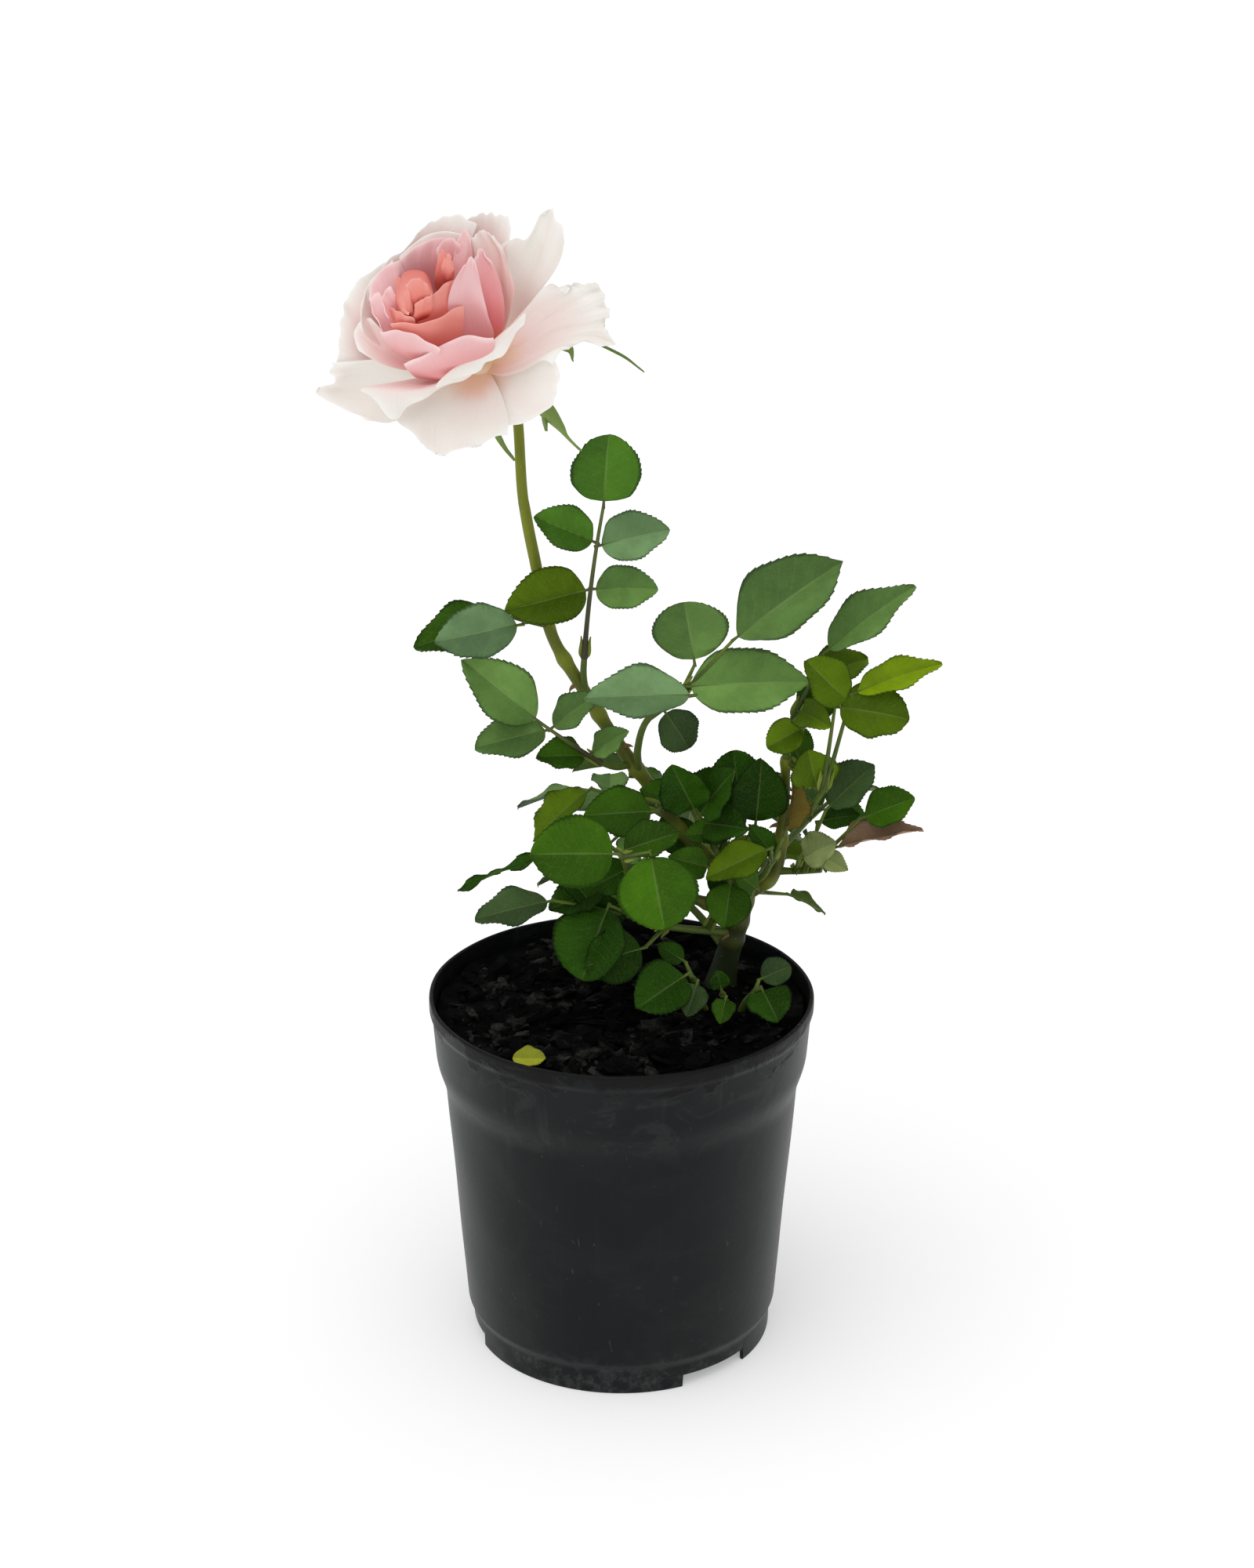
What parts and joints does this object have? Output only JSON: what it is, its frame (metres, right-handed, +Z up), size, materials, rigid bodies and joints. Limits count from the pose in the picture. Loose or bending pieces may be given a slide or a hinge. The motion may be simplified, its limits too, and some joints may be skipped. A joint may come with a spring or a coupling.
{
  "type": "potted rose bush",
  "caption": "Young patio rose in a round black nursery pot, with a large open pink bloom on a leaning cane over a low crown of compound leaves.",
  "frame": {"origin": "centre of the pot's flat underside, where it stands", "axes": "+Z up along the pot's axis; the cane leans to -X and the bloom looks to -X, -Y and up"},
  "size_m": [0.1994, 0.1438, 0.3921],
  "materials": {
    "pot": "satin black polypropylene, scuffed and splashed with soil on its collar",
    "soil": "dark moist peat with lumps of bark",
    "stems": "smooth green young bark, browner at the foot, with swollen nodes",
    "foliage": "satin green leaflets with pale midribs and darker toothed edges",
    "calyx": "matt pale green",
    "guard_petals": "soft creamy white petals with a pink flush at the base",
    "cup_petals": "soft clear pink petals, paler at the rim",
    "heart_petals": "soft coral pink petals",
    "fallen_leaf": "yellowed dry leaf"
  },
  "bodies": {
    "root": {"pot": "pot", "soil": "soil", "stock": "stems", "flower_cane": "stems", "right_cane": "stems", "left_cane": "stems", "back_cane": "stems", "upper_right_leaf": "foliage", "upper_left_leaf": "foliage", "left_leaf": "foliage", "crossing_leaf": "foliage", "right_top_leaves": "foliage", "right_leaf": "foliage", "far_right_leaves": "foliage", "centre_leaves": "foliage", "front_leaves": "foliage", "front_left_leaves": "foliage", "middle_left_leaf": "foliage", "low_left_leaves": "foliage", "back_leaves": "foliage", "back_left_leaves": "foliage", "back_right_leaves": "foliage", "rear_left_leaves": "foliage", "rear_right_leaves": "foliage", "sprout_left": "foliage", "sprout_middle": "foliage", "sprout_right": "foliage", "fallen_leaf": "fallen_leaf", "calyx": "calyx", "guard_petals": "guard_petals", "cup_petals": "cup_petals", "heart_petals": "heart_petals"}
  },
  "joints": []
}
